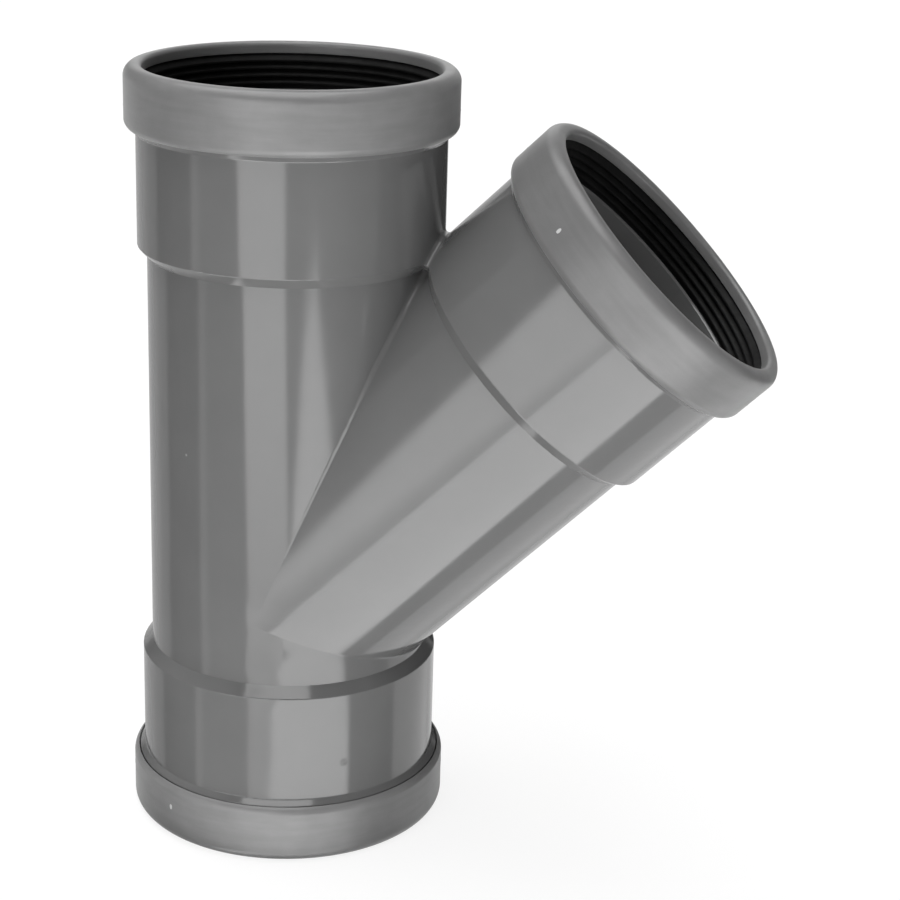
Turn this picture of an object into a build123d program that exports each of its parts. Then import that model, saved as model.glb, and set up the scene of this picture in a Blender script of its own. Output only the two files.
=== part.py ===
from build123d import *
import os
from math import atan2, cos, hypot, radians, sin, tan

# Lateral wye fitting for plastic waste pipe: a straight run with a branch at 45 degrees, and
# three ring-seal sockets, each closed by a clip-on cap that holds a ribbed rubber seal.
# Sizes are in millimetres. The fitting stands on the rim of its lower socket. The origin is
# the centre of that rim, +Z runs up the straight run and the branch leans towards +X.

# Tubes of the moulded body
branch_angle = 45.0          # from the run's axis to the branch's axis
pipe_radius = 55.0           # the pipe that the sockets take
tube_margin = 0.2            # the moulded tubes are this much larger in radius than the pipe
tube_wall = 3.2
crotch_rounding = 1.5        # outside, where the tubes meet
flow_rounding = 1.0          # inside, where the two waterways meet
seam_fade = 1.2              # the rounding ends this far short of where the tubes touch

# From the crossing of the axes to the pipe stops
upper_stop = 133.8           # of the upper socket and of the branch, which are alike
foot_stop = 25.6             # of the lower socket

# Sockets
pipe_clearance = 0.3
socket_wall = 3.6
socket_depth = 71.0          # from the pipe stop to the mouth
stop_slope = 3.5             # the stop is a cone that runs out to the bore over this length
shoulder_lead = 1.2          # the outer shoulder starts this far before the pipe stop
shoulder_length = 4.0
shoulder_rounding = 0.6      # outside, at the shoulder's wide end and both ends of the housing's slope
bore_lead_in = 0.8           # bevel where the pipe passes from the seal into the bore

# Seal chamber at the end of each socket, inside a wider housing
seal_height = 14.0           # along the axis
chamber_depth = 4.1          # radially, out from the bore
housing_wall = 1.5
housing_slope = 2.0          # the socket widens to the housing over this length

# Clip-on cap
cap_clearance = 0.3
cap_wall = 2.0
cap_front = 4.6              # thickness of the flange round the mouth
cap_length = 23.4            # its free edge lies where the housing starts
lip_clearance = 1.2          # between the pipe and the flange's inner wall
rim_land = 0.6               # narrow flat that the fitting stands on
rim_inner_rounding = 1.8
cap_edge_slope = 1.0         # outside, the cap draws in to its free edge over this length
cap_edge_bevel = 0.3         # inside, to lead the cap over the housing

# Clip rib inside the cap and its groove in the housing
clip_offset = 9.0            # from the end of the housing to the groove
clip_width = 3.0
clip_depth = 0.6
clip_clearance = 0.2
clip_bevel = 0.5

# Ribbed seal
seal_clearance = 0.1         # between the seal's back and the chamber's wall
seal_back = 2.3              # thickness of the band that carries the ribs
rib_count = 4
rib_start = 0.5              # from the seal's front face to the root of its first rib
rib_end = 1.5                # plain band behind the last rib
rib_root = 2.2
rib_lean = 2.0               # each rib leans this far into the socket
rib_tip = 0.8
rib_gap = 0.15               # a seated pipe holds the ribs' tips this far outside its wall

# Sizes that follow from these
tube_radius = pipe_radius + tube_margin
waterway_radius = tube_radius - tube_wall
bore_radius = pipe_radius + pipe_clearance
socket_radius = bore_radius + socket_wall
chamber_radius = bore_radius + chamber_depth
housing_radius = chamber_radius + housing_wall
groove_radius = housing_radius - clip_depth
cap_bore_radius = housing_radius + cap_clearance
cap_radius = cap_bore_radius + cap_wall
lip_radius = pipe_radius + lip_clearance
rim_outer_rounding = cap_radius - lip_radius - rim_inner_rounding - rim_land
cap_edge_inset = cap_wall - cap_edge_bevel
cap_edge_turn = atan2(cap_edge_inset, cap_edge_slope)
cap_edge_rounding = 0.95 * hypot(cap_edge_inset, cap_edge_slope) / tan(cap_edge_turn / 2)
seal_radius = chamber_radius - seal_clearance
rib_root_radius = seal_radius - seal_back
rib_tip_radius = pipe_radius + rib_gap
rib_pitch = (seal_height - rib_start - rib_end) / rib_count

# Each arm of the wye: its heading from +Z towards +X, and its pipe stop
foot_mouth = foot_stop + socket_depth
arms = {
    "run_top": (0.0, upper_stop),
    "branch": (branch_angle, upper_stop),
    "run_bottom": (180.0, foot_stop),
}
overrun = 1.0                # a bore is cut this far past the face that it opens through
reach = 3 * (socket_depth + upper_stop + foot_stop)


def arm_plane(heading):
    """Sketch plane of an arm: x is the radius, y runs out along the arm from the crossing."""
    turn = radians(heading)
    return Plane(
        origin=(0, 0, foot_mouth), x_dir=(cos(turn), 0, -sin(turn)), z_dir=(0, -1, 0)
    )


def turned(heading, outline, rounding):
    """A closed outline of (radius, distance along the arm) points, turned about the arm."""
    plane = arm_plane(heading)
    with BuildPart() as ring:
        with BuildSketch(plane):
            with BuildLine():
                FilletPolyline(*outline, radius=rounding, close=True)
            make_face()
        revolve(axis=Axis(plane.origin, plane.y_dir))
    return ring.part


def seams(part, heading):
    """Edges that lie on the plane which halves the angle between two equal arms."""
    turn = radians(heading)
    mitre = Plane(origin=(0, 0, foot_mouth), z_dir=(cos(turn), 0, -sin(turn)))
    return part.edges().filter_by(
        lambda edge: all(
            abs(mitre.to_local_coords(edge @ place).Z) < 0.001
            for place in (0, 0.25, 0.5, 0.75, 1)
        )
    )


def joined(solids, radius, rounding):
    """Three arms made one, with the seams between them rounded."""
    crotch = branch_angle / 2
    back = (branch_angle + 180) / 2
    slab = radius - seam_fade
    with BuildPart() as plain:
        for solid in solids:
            add(solid)
    with BuildPart() as rounded:
        add(plain.part)
        with BuildSketch(Plane.XZ):
            Rectangle(reach, reach)
        extrude(amount=slab, both=True, mode=Mode.INTERSECT)
        long_seams = (seams(rounded.part, crotch) + seams(rounded.part, back)).filter_by(
            lambda edge: edge.length > radius
        )
        fillet(long_seams, rounding)
        short_seams = seams(rounded.part, crotch)
        if short_seams:
            fillet(short_seams, rounding)
    with BuildPart() as whole:
        add(plain.part)
        with BuildSketch(Plane.XZ):
            Rectangle(reach, reach)
        extrude(amount=slab, both=True, mode=Mode.SUBTRACT)
        add(rounded.part)
    return whole.part


# Moulded body: the outside of each arm, then its waterway, socket bore and seal chamber
outsides = []
insides = []
for heading, stop in arms.values():
    mouth = stop + socket_depth
    shoulder_start = stop - shoulder_lead
    housing_start = mouth - cap_length
    housing_end = mouth - cap_front
    groove_end = housing_end - clip_offset
    groove_start = groove_end - clip_width
    outsides.append(
        turned(
            heading,
            [
                (0, 0),
                (tube_radius, 0),
                (tube_radius, shoulder_start),
                (socket_radius, shoulder_start + shoulder_length),
                (socket_radius, housing_start - housing_slope),
                (housing_radius, housing_start),
                (housing_radius, groove_start),
                (groove_radius, groove_start + clip_bevel),
                (groove_radius, groove_end),
                (housing_radius, groove_end),
                (housing_radius, housing_end),
                (0, housing_end),
            ],
            [0] * 3 + [shoulder_rounding] * 3 + [0] * 6,
        )
    )
    chamber_floor = housing_end - seal_height
    insides.append(
        turned(
            heading,
            [
                (0, 0),
                (waterway_radius, 0),
                (waterway_radius, stop),
                (bore_radius, stop + stop_slope),
                (bore_radius, chamber_floor - bore_lead_in),
                (bore_radius + bore_lead_in, chamber_floor),
                (chamber_radius, chamber_floor),
                (chamber_radius, housing_end + overrun),
                (0, housing_end + overrun),
            ],
            0,
        )
    )

with BuildPart() as wye_body:
    add(joined(outsides, tube_radius, crotch_rounding))
    add(joined(insides, waterway_radius, flow_rounding), mode=Mode.SUBTRACT)
wye_body.part.label = "wye_body"

# Clip-on caps and ribbed seals, one of each on every arm
os.makedirs("parts", exist_ok=True)
export_step(wye_body.part, "parts/wye_body.step")
for name, (heading, stop) in arms.items():
    mouth = stop + socket_depth
    free_edge = mouth - cap_length
    flange = mouth - cap_front
    rib_high = flange - clip_offset - clip_clearance
    rib_low = flange - clip_offset - clip_width + clip_clearance
    with BuildPart() as cap:
        add(
            turned(
                heading,
                [
                    (lip_radius, mouth),
                    (cap_radius, mouth),
                    (cap_radius, free_edge + cap_edge_slope),
                    (cap_bore_radius + cap_edge_bevel, free_edge),
                    (cap_bore_radius, free_edge + cap_edge_bevel),
                    (cap_bore_radius, rib_low),
                    (groove_radius + clip_clearance, rib_low + clip_bevel),
                    (groove_radius + clip_clearance, rib_high),
                    (cap_bore_radius, rib_high),
                    (cap_bore_radius, flange),
                    (lip_radius, flange),
                ],
                [rim_inner_rounding, rim_outer_rounding, cap_edge_rounding] + [0] * 8,
            )
        )
    cap.part.label = name + "_cap"
    export_step(cap.part, "parts/" + cap.part.label + ".step")

    ribs = []
    for index in range(rib_count):
        root = flange - rib_start - index * rib_pitch
        ribs += [
            (rib_root_radius, root),
            (rib_tip_radius, root - rib_lean),
            (rib_tip_radius, root - rib_lean - rib_tip),
            (rib_root_radius, root - rib_root),
        ]
    with BuildPart() as seal:
        add(
            turned(
                heading,
                [(seal_radius, flange), (rib_root_radius, flange)]
                + ribs
                + [(rib_root_radius, flange - seal_height), (seal_radius, flange - seal_height)],
                0,
            )
        )
    seal.part.label = name + "_seal"
    export_step(seal.part, "parts/" + seal.part.label + ".step")
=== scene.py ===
# %% [markdown]
# # A lateral wye in grey plastic
# The fitting is a straight run of waste pipe with a branch at 45 degrees. It has three sockets,
# each closed by a clip-on cap that holds a black rubber seal. The exact solids come from the
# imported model, and this script gives them their looks: plastic that mirrors the studio, satin
# caps with moulded edges and dull rubber. Everything is in metres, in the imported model's frame.

from math import cos, hypot, pi, radians, sin

import bmesh
import bpy
from mathutils import Matrix, Vector


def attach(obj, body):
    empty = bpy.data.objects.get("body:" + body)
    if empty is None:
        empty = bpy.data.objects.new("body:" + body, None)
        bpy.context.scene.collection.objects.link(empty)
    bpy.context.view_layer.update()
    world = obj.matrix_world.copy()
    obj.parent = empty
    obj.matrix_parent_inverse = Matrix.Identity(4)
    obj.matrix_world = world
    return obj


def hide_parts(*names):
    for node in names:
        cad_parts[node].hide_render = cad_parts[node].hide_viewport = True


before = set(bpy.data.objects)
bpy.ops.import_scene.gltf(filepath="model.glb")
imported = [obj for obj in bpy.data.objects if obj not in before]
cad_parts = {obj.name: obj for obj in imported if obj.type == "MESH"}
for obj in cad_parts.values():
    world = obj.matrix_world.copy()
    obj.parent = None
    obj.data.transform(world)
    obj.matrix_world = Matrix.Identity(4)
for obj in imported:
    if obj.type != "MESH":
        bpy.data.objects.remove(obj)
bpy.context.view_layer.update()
print("nodes:", ", ".join(sorted(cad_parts)))

# %% [markdown]
# ## Sizes shared with the solids
# The three arms meet where their axes cross, 96.6 mm above the rim that the fitting stands on.
# An arm is given by its heading, from straight up towards the branch, and by the distance from
# the crossing to its mouth. One matrix per arm then places anything that is drawn with its axis
# along Z, so a cap is described once and used three times.

# %% Arms
mm = 0.001
crossing = 96.6 * mm
upper_mouth = 204.8 * mm
arms = {
    "run_top": (0.0, upper_mouth),
    "branch": (45.0, upper_mouth),
    "run_bottom": (180.0, crossing),
}


def arm_matrix(heading):
    """Takes a piece from its own frame, Z out along the arm, to the fitting's frame."""
    return Matrix.Translation((0, 0, crossing)) @ Matrix.Rotation(radians(heading), 4, "Y")


for name, (heading, mouth) in arms.items():
    print(name, "mouth at", [round(v, 4) for v in arm_matrix(heading) @ Vector((0, 0, mouth))])

# %% [markdown]
# ## Camera
# The photograph was taken from a little above and from slightly to the right, with a long lens.
# The camera's place was found from the outlines of the rims, and it is given here as a studio
# would note it: a point to aim at, a distance, two angles and a slight roll.

# %% Camera
aim = Vector((63.98, 0, 154.83)) * mm
camera_bearing = radians(10.006)
camera_height = radians(18.795)
camera_roll = radians(1.774)
camera_distance = 851.27 * mm
sensor_width = 36
picture_width = 900
lens_in_pixels = 2181.82

back = Vector((
    sin(camera_bearing) * cos(camera_height),
    -cos(camera_bearing) * cos(camera_height),
    sin(camera_height),
))
camera_data = bpy.data.cameras.new("studio_camera")
camera_data.sensor_width = sensor_width
camera_data.lens = lens_in_pixels * sensor_width / picture_width
camera_data.clip_start = 10 * mm
camera = bpy.data.objects.new("studio_camera", camera_data)
bpy.context.scene.collection.objects.link(camera)
camera.matrix_world = (
    Matrix.Translation(aim + back * camera_distance)
    @ back.to_track_quat("Z", "Y").to_matrix().to_4x4()
    @ Matrix.Rotation(camera_roll, 4, "Z")
)
bpy.context.scene.camera = camera
print("camera at", [round(v, 4) for v in camera.matrix_world.translation])

# %% [markdown]
# ## A helper for materials
# A material is a small tree of nodes. This helper adds one node, sets its numbers and wires its
# inputs, so each finish below reads as a short list of what it is made of. An input is named by
# its label, or by i0, i1 and so on where several inputs share a label.


# %% Node helper
def new_tree(owner):
    """Gives a material or a world an empty tree of nodes."""
    owner.use_nodes = True
    owner.node_tree.nodes.clear()
    return owner.node_tree


def node(tree, kind, settings=None, **inputs):
    """Adds a node. An input is a number or colour to set, or another node's output to wire."""
    made = tree.nodes.new(kind)
    for key, value in (settings or {}).items():
        setattr(made, key, value)
    for key, value in inputs.items():
        numbered = key[0] == "i" and key[1:].isdigit()
        socket = made.inputs[int(key[1:]) if numbered else key.replace("_", " ")]
        if isinstance(value, bpy.types.NodeSocket):
            tree.links.new(value, socket)
        else:
            socket.default_value = value
    return made


def maths(tree, operation, *values):
    """One step of arithmetic on numbers or wires."""
    made = node(tree, "ShaderNodeMath", {"operation": operation})
    for socket, value in zip(made.inputs, values):
        if isinstance(value, bpy.types.NodeSocket):
            tree.links.new(value, socket)
        else:
            socket.default_value = value
    return made.outputs["Value"]


def smooth_step(tree, value, start, end, low=0.0, high=1.0):
    """Runs from low at the start to high at the end, with no corner at either."""
    made = node(
        tree, "ShaderNodeMapRange", {"interpolation_type": "SMOOTHSTEP"},
        Value=value, i1=start, i2=end, i3=low, i4=high,
    )
    return made.outputs[0]


def cloud(tree, place, size, low, high, detail=2.0):
    """Soft noise whose patches are about the given size across, between two levels."""
    noise = node(tree, "ShaderNodeTexNoise", Vector=place, Scale=1 / size, Detail=detail)
    made = node(
        tree, "ShaderNodeMapRange", Value=noise.outputs["Fac"], i1=0.3, i2=0.7, i3=low, i4=high
    )
    return made.outputs[0]


def spot(tree, place, centre, radius, soft):
    """1 inside a small ball round a point and 0 outside it, with a soft edge."""
    distance = node(tree, "ShaderNodeVectorMath", {"operation": "DISTANCE"}, i0=place, i1=centre)
    return smooth_step(tree, distance.outputs["Value"], radius - soft, radius, 1.0, 0.0)


# %% [markdown]
# ## Body plastic
# The body is hard, glossy grey plastic, straight from a polished mould. Such a surface is two
# things at once: an even grey below, and a clear mirror on top that shows the studio's lights
# as upright strips. Two quiet irregularities make it look moulded and not computed. The grey
# varies by a few hundredths where the melt flowed, and the mirror ripples, most of all on the
# run below the branch, where the thick joint sank a little as it cooled. A small pale spot on
# the run is a painted highlight: it brightens the grey where a glint shows. A faint smudge on
# the lower socket is kept as it is on the real piece.

# %% Body plastic
body_grey = 0.125
ripple_depth = 0.02 * mm
sink_depth = 0.25 * mm
sink_inner = 8 * mm
sink_outer = 40 * mm
sink_place = Vector((4, -54, 84)) * mm
# A small spot of painted highlight on the run, standing in for a glint.
painted_glint_place = Vector((-28.3, -47.4, 160.0)) * mm
painted_glint_radius = 0.7 * mm
smudge_place = Vector((34.2, -47.9, 39.6)) * mm
smudge_radius = 2.2 * mm

body_plastic = bpy.data.materials.new("body_plastic_gloss")
tree = new_tree(body_plastic)
place = node(tree, "ShaderNodeTexCoord").outputs["Object"]
flow = cloud(tree, place, 22 * mm, 0.97, 1.03, detail=3.0)
painted_glint = spot(tree, place, painted_glint_place, painted_glint_radius, 0.5 * mm)
smudge = maths(
    tree, "MULTIPLY",
    spot(tree, place, smudge_place, smudge_radius, 1.2 * mm),
    cloud(tree, place, 1.5 * mm, 0.3, 1.0),
)
# The painted highlight more than doubles the grey inside its spot; the smudge darkens it a
# little.
level = maths(tree, "MULTIPLY_ADD", painted_glint, 1.2, maths(tree, "MULTIPLY_ADD", smudge, -0.35, flow))
tint = node(
    tree, "ShaderNodeVectorMath", {"operation": "SCALE"}, i0=(body_grey,) * 3, Scale=level
)
gloss = maths(tree, "MULTIPLY_ADD", smudge, 0.25, cloud(tree, place, 9 * mm, 0.09, 0.12))
from_sink = node(
    tree, "ShaderNodeVectorMath", {"operation": "DISTANCE"}, i0=place, i1=sink_place
)
sunk = smooth_step(tree, from_sink.outputs["Value"], sink_inner, sink_outer, 1.0, 0.0)
ripple = maths(
    tree, "MULTIPLY_ADD",
    maths(tree, "MULTIPLY", sunk, sink_depth), cloud(tree, place, 20 * mm, 0.0, 1.0, detail=1.0),
    cloud(tree, place, 30 * mm, 0.0, ripple_depth, detail=1.0),
)
surface = node(tree, "ShaderNodeBump", Strength=1.0, Distance=1.0, Height=ripple)
shader = node(
    tree, "ShaderNodeBsdfPrincipled", Base_Color=tint.outputs["Vector"], Roughness=gloss,
    IOR=1.54, Normal=surface.outputs["Normal"],
)
node(tree, "ShaderNodeOutputMaterial", Surface=shader.outputs["BSDF"])
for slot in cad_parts["wye_body"].material_slots:
    slot.material = body_plastic
print("body grey", body_grey)

# %% [markdown]
# ## Cap plastic
# The caps come from another mould with a fine spark-eroded face, so they are satin: the studio's
# strips blur into broad soft bands. The face is a little cloudy, with faint streaks that run
# round the cap as the melt did. The streaks need to follow each cap whichever way it points.
# They read an attribute that stores where each point lies in the cap's own upright frame,
# which is simpler than a rotated copy of the material for the branch. Each cap has its own
# grey: the branch cap is the darkest and the lower run cap the lightest.

# %% Cap plastic
cap_greys = {"run_top": 0.175, "branch": 0.143, "run_bottom": 0.183}
# The gate mark's pale grey is partly the mark's own and partly a painted highlight for its glint.
gate_grey_with_painted_glint = 0.5
grain_depth = 0.012 * mm


def cap_finish(name, grey):
    """Satin plastic of one grey, with clouds, streaks round the cap and a fine grain."""
    material = bpy.data.materials.new(name)
    tree = new_tree(material)
    place = node(tree, "ShaderNodeAttribute", {"attribute_name": "arm_place"}).outputs["Vector"]
    long_way = node(tree, "ShaderNodeMapping", Vector=place, Scale=(1, 1, 9))
    streaks = cloud(tree, long_way.outputs["Vector"], 26 * mm, 0.93, 1.07, detail=5.0)
    patches = cloud(tree, place, 7 * mm, 0.96, 1.04, detail=3.0)
    level = maths(tree, "MULTIPLY", streaks, patches)
    tint = node(
        tree, "ShaderNodeVectorMath", {"operation": "SCALE"}, i0=(grey,) * 3, Scale=level
    )
    grain = cloud(tree, place, 0.9 * mm, 0.0, grain_depth, detail=3.0)
    surface = node(tree, "ShaderNodeBump", Strength=1.0, Distance=1.0, Height=grain)
    shader = node(
        tree, "ShaderNodeBsdfPrincipled", Base_Color=tint.outputs["Vector"],
        Roughness=cloud(tree, place, 12 * mm, 0.34, 0.42), IOR=1.54,
        Sheen_Weight=0.2, Sheen_Roughness=0.3,
        Normal=surface.outputs["Normal"],
    )
    node(tree, "ShaderNodeOutputMaterial", Surface=shader.outputs["BSDF"])
    return material


cap_plastics = {name: cap_finish(name + "_cap_plastic", grey) for name, grey in cap_greys.items()}
gate_plastic_with_painted_glint = cap_finish("cap_plastic_gate_with_painted_glint", gate_grey_with_painted_glint)
print("cap greys", cap_greys)

# %% [markdown]
# ## Seal rubber
# The seals are black rubber. Rubber takes in nearly all light and has only a weak, wide shine,
# so the ribs show as slightly lighter lines. A fine grain keeps that shine from looking wet.

# %% Seal rubber
rubber_black = 0.004

seal_rubber = bpy.data.materials.new("seal_rubber_black")
tree = new_tree(seal_rubber)
place = node(tree, "ShaderNodeAttribute", {"attribute_name": "arm_place"}).outputs["Vector"]
bloom = cloud(tree, place, 6 * mm, 0.7, 1.5, detail=3.0)
tint = node(
    tree, "ShaderNodeVectorMath", {"operation": "SCALE"}, i0=(rubber_black,) * 3, Scale=bloom
)
grain = cloud(tree, place, 0.5 * mm, 0.0, 0.02 * mm)
surface = node(tree, "ShaderNodeBump", Strength=1.0, Distance=1.0, Height=grain)
shader = node(
    tree, "ShaderNodeBsdfPrincipled", Base_Color=tint.outputs["Vector"],
    Roughness=cloud(tree, place, 4 * mm, 0.5, 0.62), IOR=1.5, Specular_IOR_Level=0.14,
    Normal=surface.outputs["Normal"],
)
node(tree, "ShaderNodeOutputMaterial", Surface=shader.outputs["BSDF"])
print("rubber black", rubber_black)

# %% [markdown]
# ## Turning a ring
# Caps and seals are rings. A lathe would make them, and so does the spin operator: the corners
# of the section are joined by edges and spun once round. Rounding each sharp corner afterwards
# with a bevel keeps the outline down to the few points that a drawing would give.


# %% Ring helper
ring_steps = 160
touch = 0.01 * mm


def spun(corners):
    """Spins a closed outline of (radius, height) corners once round Z."""
    bm = bmesh.new()
    points = [bm.verts.new((radius, 0, height)) for radius, height in corners]
    outline = [bm.edges.new(pair) for pair in zip(points, points[1:] + points[:1])]
    bmesh.ops.spin(
        bm, geom=points + outline, axis=(0, 0, 1), cent=(0, 0, 0), dvec=(0, 0, 0),
        angle=2 * pi, steps=ring_steps, use_merge=True,
    )
    bmesh.ops.remove_doubles(bm, verts=bm.verts, dist=touch)
    bmesh.ops.recalc_face_normals(bm, faces=bm.faces)
    return bm


def round_corner(bm, corner, radius, segments):
    """Rounds the ring edge that the outline's corner drew."""
    def on_corner(vert):
        away = hypot(hypot(vert.co.x, vert.co.y) - corner[0], vert.co.z - corner[1])
        return away < touch

    edges = [edge for edge in bm.edges if all(on_corner(vert) for vert in edge.verts)]
    bmesh.ops.bevel(
        bm, geom=edges, offset=radius, offset_type="OFFSET", affect="EDGES",
        segments=segments, profile=0.5, material=-1, clamp_overlap=False,
    )


def place_ring(bm, name, heading, materials, replaced):
    """Keeps each point's place in the upright frame, then sets the ring on its arm."""
    upright = bm.verts.layers.float_vector.new("arm_place")
    for vert in bm.verts:
        vert[upright] = vert.co
    for face in bm.faces:
        face.smooth = True
    sharp = radians(35)
    for edge in bm.edges:
        edge.smooth = edge.calc_face_angle(0) < sharp
    bmesh.ops.transform(bm, matrix=arm_matrix(heading), verts=bm.verts)
    mesh = bpy.data.meshes.new(name)
    bm.to_mesh(mesh)
    bm.free()
    for material in materials:
        mesh.materials.append(material)
    piece = bpy.data.objects.new(name, mesh)
    bpy.context.scene.collection.objects.link(piece)
    weights = piece.modifiers.new("even_shading", "WEIGHTED_NORMAL")
    weights.keep_sharp = True
    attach(piece, "root")
    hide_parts(replaced)
    return piece


# %% [markdown]
# ## The section of a cap
# A cap is a short sleeve with an inward flange. The flange's outer corner is a large rounding,
# its inner corner a small one, and between them runs the narrow flat on which the fitting
# stands. Inside, a rib catches in a groove of the housing. These sizes draw that section, as
# radii and as depths below the mouth, so that the same section serves all three arms.

# %% Cap section
cap_radius = 63.2 * mm
cap_bore = 61.2 * mm
cap_rib = 60.5 * mm
cap_lip = 56.2 * mm
cap_flange = 4.6 * mm
cap_length = 23.4 * mm
edge_slope = 1.0 * mm
edge_bevel = 0.3 * mm
rim_inner_rounding = 1.8 * mm
rim_outer_rounding = 4.6 * mm
flange_rounding = 0.3 * mm
edge_share = 0.95
rib_far = 16.4 * mm
rib_near = 13.8 * mm
edge_inset = cap_radius - cap_bore - edge_bevel


def cap_section(mouth):
    """Corners of the section as (radius, height), from the lip round to the flange."""
    free_edge = mouth - cap_length
    return [
        (cap_lip, mouth),
        (cap_radius, mouth),
        (cap_radius, free_edge + edge_slope),
        (cap_bore + edge_bevel, free_edge),
        (cap_bore, free_edge + edge_bevel),
        (cap_bore, mouth - rib_far),
        (cap_rib, mouth - rib_far),
        (cap_rib, mouth - rib_near),
        (cap_bore, mouth - rib_near),
        (cap_bore, mouth - cap_flange),
        (cap_lip, mouth - cap_flange),
    ]


print("cap section has", len(cap_section(upper_mouth)), "corners")

# %% [markdown]
# ## Marks of the mould
# A moulded cap shows where its tool closed, as a hair-thin raised line round the sleeve, and
# where the melt came in, as one pale oblong mark. Both could be painted, but then they would not
# catch the light, so they are real shapes: the line is left standing when the wall beside it is
# set back, and the mark is a flattened ball sunk in the wall. The mark's pale grey is partly its
# own and partly a painted highlight, standing in for the glint on the small dome.

# %% Moulding marks
line_depth = 15.4 * mm
line_width = 0.35 * mm
line_height = 0.07 * mm
gate_depth = 14.2 * mm
gate_long = 1.55 * mm
gate_wide = 0.85 * mm
gate_thick = 0.15 * mm
gate_proud = 0.05 * mm
gate_bearings = {"run_top": 160.0, "branch": -34.9, "run_bottom": 33.0}


def raise_line(bm, mouth):
    """Cuts three rings round the sleeve, then sets all but the middle one back a little."""
    for offset in (-line_width, 0, line_width):
        bmesh.ops.bisect_plane(
            bm, geom=bm.verts[:] + bm.edges[:] + bm.faces[:], dist=touch / 10,
            plane_co=(0, 0, mouth - line_depth + offset), plane_no=(0, 0, 1),
        )
    for vert in bm.verts:
        off_line = abs(vert.co.z - (mouth - line_depth)) > touch
        if off_line and hypot(vert.co.x, vert.co.y) > cap_bore + touch:
            shrink = 1 - line_height / cap_radius
            vert.co.x *= shrink
            vert.co.y *= shrink


def add_gate(bm, mouth, bearing):
    """A low oblong dome on the sleeve, at a bearing from the front."""
    dome = bmesh.ops.create_uvsphere(bm, u_segments=20, v_segments=10, radius=1.0)["verts"]
    bmesh.ops.scale(bm, verts=dome, vec=(gate_wide, gate_thick, gate_long))
    sink = cap_radius - line_height - (gate_thick - gate_proud)
    bmesh.ops.translate(bm, verts=dome, vec=(0, -sink, mouth - gate_depth))
    turn = Matrix.Rotation(radians(bearing), 3, "Z")
    bmesh.ops.rotate(bm, verts=dome, cent=(0, 0, 0), matrix=turn)
    for face in {face for vert in dome for face in vert.link_faces}:
        # The dome takes the gate plastic, whose pale grey is partly a painted highlight.
        face.material_index = 1


print("gate marks at", gate_bearings)

# %% [markdown]
# ## Three caps
# Each cap is its section spun once round, with four of its corners rounded. The moulding
# marks are added last, on the finished sleeve, and the ring is then set on its arm.

# %% Caps
for name, (heading, mouth) in arms.items():
    corners = cap_section(mouth)
    bm = spun(corners)
    round_corner(bm, corners[0], rim_inner_rounding, 6)
    round_corner(bm, corners[1], rim_outer_rounding, 12)
    round_corner(bm, corners[2], edge_share * hypot(edge_inset, edge_slope), 10)
    round_corner(bm, corners[10], flange_rounding, 2)
    raise_line(bm, mouth)
    add_gate(bm, mouth, gate_bearings[name])
    plastics = (cap_plastics[name], gate_plastic_with_painted_glint)
    cap = place_ring(bm, name + "_cap_satin", heading, plastics, name + "_cap")
    print(cap.name, len(cap.data.polygons), "faces")

# %% [markdown]
# ## Seals
# A seal is a rubber band with four ribs that lean into the socket, so that a pipe slides in
# easily and water does not get back out. Each rib is four corners of the section, repeated by
# a loop, and the tips are softened because moulded rubber has no knife edges.

# %% Seals
seal_back = 59.3 * mm
seal_root = 57.0 * mm
rib_tip = 55.15 * mm
seal_height = 14.0 * mm
rib_count = 4
rib_start = 0.5 * mm
rib_pitch = 3.0 * mm
rib_lean = 2.0 * mm
rib_thickness = 0.8 * mm
rib_root = 2.2 * mm
tip_softness = 0.22 * mm

for name, (heading, mouth) in arms.items():
    face = mouth - cap_flange
    corners = [(seal_back, face), (seal_root, face)]
    tips = []
    for index in range(rib_count):
        root = face - rib_start - index * rib_pitch
        tips += [(rib_tip, root - rib_lean), (rib_tip, root - rib_lean - rib_thickness)]
        corners += [(seal_root, root), tips[-2], tips[-1], (seal_root, root - rib_root)]
    corners += [(seal_root, face - seal_height), (seal_back, face - seal_height)]
    bm = spun(corners)
    for tip in tips:
        round_corner(bm, tip, tip_softness, 3)
    seal = place_ring(
        bm, name + "_seal_ribbed", heading, (seal_rubber,), name + "_seal"
    )
    print(seal.name, len(seal.data.polygons), "faces")

# %% [markdown]
# ## Floor
# The fitting stands on a plain pale floor. A soft shadow under the rim shows that it stands, so
# the floor is real and catches that shadow. To the camera most of its paint is replaced by an
# even white glow, which keeps the background white without sending more light to the object.
# Mirror rays pass it by, because the studio below already says what the plastic reflects.

# %% Floor
floor_size = 3.0
floor_bounce = 0.5
floor_paint_level = 0.9
floor_glow = 1.06
floor_white = 0.8            # the glow's share in what the camera sees

bm = bmesh.new()
bmesh.ops.create_grid(bm, x_segments=1, y_segments=1, size=floor_size)
floor_mesh = bpy.data.meshes.new("floor")
bm.to_mesh(floor_mesh)
bm.free()
floor = bpy.data.objects.new("floor", floor_mesh)
bpy.context.scene.collection.objects.link(floor)
floor.visible_glossy = False

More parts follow.
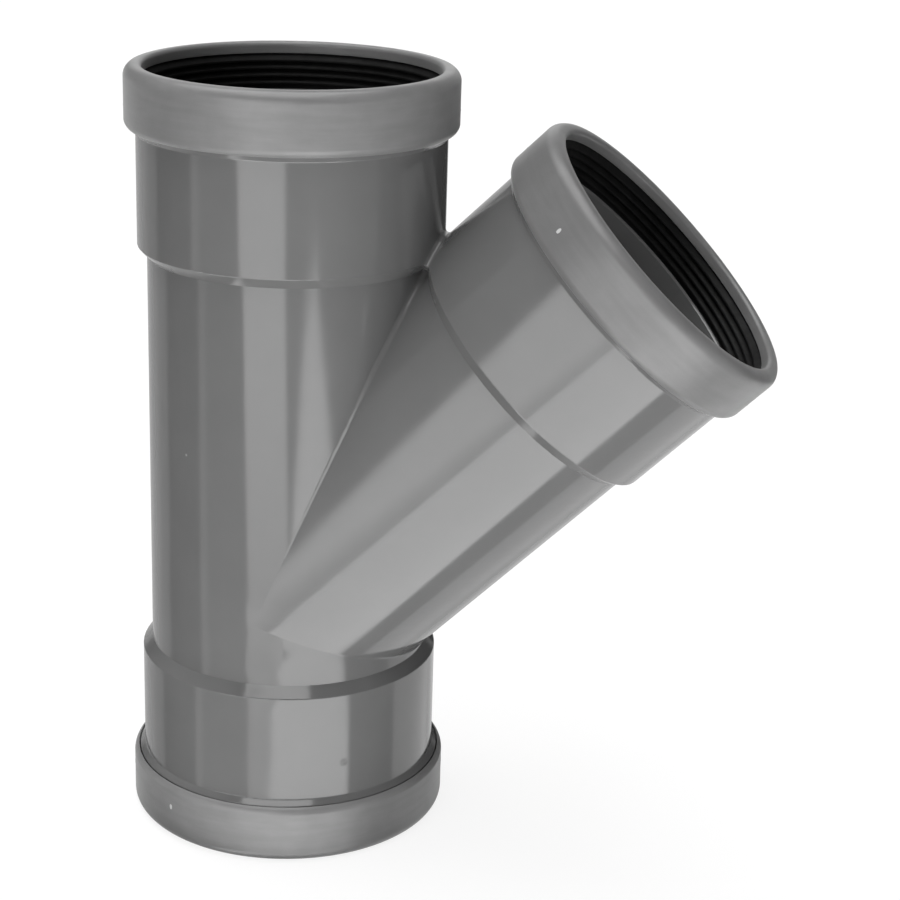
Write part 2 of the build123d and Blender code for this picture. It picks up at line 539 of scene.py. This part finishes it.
floor_paint = bpy.data.materials.new("floor_paint")
tree = new_tree(floor_paint)
seen = node(tree, "ShaderNodeLightPath").outputs["Is Camera Ray"]
dim = node(tree, "ShaderNodeBsdfDiffuse", Color=(floor_bounce,) * 3 + (1,))
paint = node(tree, "ShaderNodeBsdfDiffuse", Color=(floor_paint_level,) * 3 + (1,))
glow = node(tree, "ShaderNodeEmission", Color=(1, 1, 1, 1), Strength=floor_glow)
shown = node(
    tree, "ShaderNodeMixShader", Fac=floor_white, i1=paint.outputs[0], i2=glow.outputs[0]
)
mixed = node(tree, "ShaderNodeMixShader", Fac=seen, i1=dim.outputs[0], i2=shown.outputs[0])
node(tree, "ShaderNodeOutputMaterial", Surface=mixed.outputs[0])
floor_mesh.materials.append(floor_paint)
print("floor glow", floor_glow)

# %% [markdown]
# ## Studio light
# Glossy plastic looks like whatever stands around it, so the studio matters as much as the
# plastic. The photograph's reflections were followed back to where they come from: a tall soft
# box just left of the camera, a white table in front of the fitting to the right, dark gaps
# beside both, a paler wall behind and a panel overhead that shows in the sockets' shoulders.
# They are painted on the world as cards, each with a level of light and four edges in degrees: a
# bearing from the front, positive to the right, and a rise above the horizon. A card hides what
# was painted before it. The box's and the table's edges slant, so they are worked out from the
# rise. Bearings crowd together overhead, so the panel's edges are given by the X and Y of the
# direction, and its light is added.

# %% Studio light
world = bpy.data.worlds.new("studio")
bpy.context.scene.world = world
tree = new_tree(world)
way = node(
    tree, "ShaderNodeSeparateXYZ", Vector=node(tree, "ShaderNodeTexCoord").outputs["Generated"]
).outputs
turn_angle = maths(tree, "ARCTAN2", way["X"], maths(tree, "MULTIPLY", way["Y"], -1.0))
bearing = maths(tree, "MULTIPLY", turn_angle, 180 / pi)
rise = maths(tree, "MULTIPLY", maths(tree, "ARCSINE", way["Z"]), 180 / pi)


def past(value, limit, soft):
    """0 before the limit and 1 after it. The limit may be a wire, for an edge that slants."""
    return smooth_step(tree, maths(tree, "SUBTRACT", value, limit), -soft / 2, soft / 2)


def between(value, start, end, soft):
    """1 between two limits and 0 outside them."""
    inside = maths(tree, "SUBTRACT", past(value, start, soft[0]), past(value, end, soft[1]))
    return maths(tree, "MAXIMUM", inside, 0.0)


def card(
    light, level, left=-181.0, right=181.0, low=-91.0, high=91.0, soft=(3, 3), soft_rise=(3, 3)
):
    """Paints one card over the light that is there."""
    across = between(bearing, left, right, soft)
    mask = maths(tree, "MULTIPLY", across, between(rise, low, high, soft_rise))
    kept = maths(tree, "MULTIPLY", light, maths(tree, "SUBTRACT", 1.0, mask))
    return maths(tree, "MULTIPLY_ADD", mask, level, kept)


print("bearing and rise take", len(tree.nodes), "nodes")

# %% [markdown]
# ## Walls and gaps
# First come the plain cards: the dim walls, the darker air above them, the strips and gaps to
# the left, the paler ground to the right and the wall behind. Each was matched to the strip of
# plastic that mirrors it.

# %% Walls and gaps
walls = 0.48
light = card(walls, 0.62, right=-118, soft=(3, 16))
light = card(light, 0.08, low=3, soft_rise=(8, 3))
light = card(light, 0.45, -108, -48, low=8, high=60, soft=(50, 16), soft_rise=(14, 30))
light = card(light, 0.07, -103, -64, high=6, soft=(8, 5), soft_rise=(3, 14))
light = card(light, 0.84, -64, -56, high=-6, soft=(4, 6), soft_rise=(3, 8))
light = card(light, 0.50, -56, -28, high=30, soft=(6, 3))
light = card(light, 0.75, 8, 105, high=0, soft=(4, 6))
light = card(light, 0.44, 50, 105, high=-6, soft=(40, 6))
light = card(light, 0.06, left=105, high=0, soft=(6, 3))
light = card(light, 1.2, left=105, high=-22, soft=(6, 3), soft_rise=(3, 8))
light = card(light, 0.8, left=157, high=-22, soft=(12, 3), soft_rise=(3, 8))
light = card(light, 0.6, left=166, low=4, high=28, soft=(12, 3), soft_rise=(8, 14))
light = card(light, 1.2, right=-152, low=4, high=30, soft=(3, 12), soft_rise=(8, 14))
print("plain cards painted with", len(tree.nodes), "nodes")

# %% [markdown]
# ## Soft box, panel and table
# Then come the three bright things. The soft box's left edge slants and its light fades towards
# the floor. The overhead panel reaches further left at the back than in front. The table is a
# wedge, narrow where it is far off and wide where it comes close.

# %% Soft box, panel and table
box_right = 9.5
box_high = 20
box_left = maths(tree, "MULTIPLY_ADD", rise, -0.5, -31.5)
fade = maths(tree, "MAXIMUM", maths(tree, "SUBTRACT", -17.0, rise), 0.0)
box_level = maths(tree, "MAXIMUM", maths(tree, "MULTIPLY_ADD", fade, -0.15, 3.4), 1.9)
light = card(light, box_level, box_left, box_right, high=box_high, soft=(3, 4), soft_rise=(3, 8))

panel_level = 3.5
panel_right = 0.32
panel_front, panel_back = -0.54, 0.5
left_in_front, left_at_back = -0.31, -0.6
panel_left = smooth_step(tree, way["Y"], -0.2, 0.0, left_in_front, left_at_back)
across = between(way["X"], panel_left, panel_right, (0.03, 0.03))
along = between(way["Y"], panel_front, panel_back, (0.06, 0.1))
above = maths(tree, "MULTIPLY", maths(tree, "MULTIPLY", across, along), past(way["Z"], 0.5, 0.1))
light = maths(tree, "MULTIPLY_ADD", above, panel_level, light)

table_level = 4.1
table_low, table_high = -68, -13.2
table_top = maths(tree, "MULTIPLY_ADD", rise, 5.0, 102.4)
table_left = maths(tree, "MAXIMUM", maths(tree, "MULTIPLY_ADD", rise, 2.07, 56.8), table_top)
table_right = maths(tree, "MINIMUM", maths(tree, "MULTIPLY_ADD", rise, -2.7, -6.0), 62.0)
light = card(
    light, table_level, table_left, table_right, table_low, table_high,
    soft=(3, 5), soft_rise=(4, 4),
)
print("the whole studio takes", len(tree.nodes), "nodes")

# %% [markdown]
# ## What the camera sees
# Where a camera ray meets nothing it finds plain white, as in the photograph's cut-out
# background. Every other ray finds the studio.

# %% World output
seen = node(tree, "ShaderNodeLightPath").outputs["Is Camera Ray"]
kept = maths(tree, "MULTIPLY", light, maths(tree, "SUBTRACT", 1.0, seen))
strength = maths(tree, "ADD", kept, seen)
sky = node(tree, "ShaderNodeBackground", Color=(1, 1, 1, 1), Strength=strength)
node(tree, "ShaderNodeOutputWorld", Surface=sky.outputs[0])
print("the sky is white to the camera")

# %% [markdown]
# ## Light from the table
# The white table in front of the fitting does more than show in the plastic: it throws light up
# and back, onto the underside of the branch and the right half of the run. A large dim lamp that
# lies on the floor and faces up does that. It is hidden from the camera and from mirror rays,
# because the floor and the painted studio are what they should see.

# %% Table lamp
table_width = 1.1
table_depth = 0.92
table_centre = (0.31, -0.53, 0.003)
table_radiance = 1.4

lamp = bpy.data.lights.new("table_lamp", "AREA")
lamp.shape = "RECTANGLE"
lamp.size = table_width
lamp.size_y = table_depth
lamp.energy = table_radiance * pi * table_width * table_depth
table_lamp = bpy.data.objects.new("table_lamp", lamp)
bpy.context.scene.collection.objects.link(table_lamp)
table_lamp.matrix_world = Matrix.Translation(table_centre) @ Matrix.Rotation(pi, 4, "X")
table_lamp.visible_camera = False
table_lamp.visible_glossy = False
print("table lamp", round(lamp.energy, 2), "W")

# %% [markdown]
# ## Fill light
# A wide soft lamp stands well to the right and low above the table. It lifts the right half of
# the fitting evenly, so the grey there stays grey between the reflections.

# %% Fill lamp
fill_side = 0.5
fill_place = Vector((0.95, -0.55, 0.05))
fill_watts = 2.3

lamp = bpy.data.lights.new("fill_lamp", "AREA")
lamp.shape = "SQUARE"
lamp.size = fill_side
lamp.energy = fill_watts
fill_lamp = bpy.data.objects.new("fill_lamp", lamp)
bpy.context.scene.collection.objects.link(fill_lamp)
facing = (fill_place - aim).to_track_quat("Z", "Y").to_matrix().to_4x4()
fill_lamp.matrix_world = Matrix.Translation(fill_place) @ facing
fill_lamp.visible_camera = False
fill_lamp.visible_glossy = False
print("fill lamp", fill_watts, "W")

# %% [markdown]
# ## Finish
# The picture uses the standard view transform.

# %% Finish
bpy.context.scene.view_settings.view_transform = "Standard"
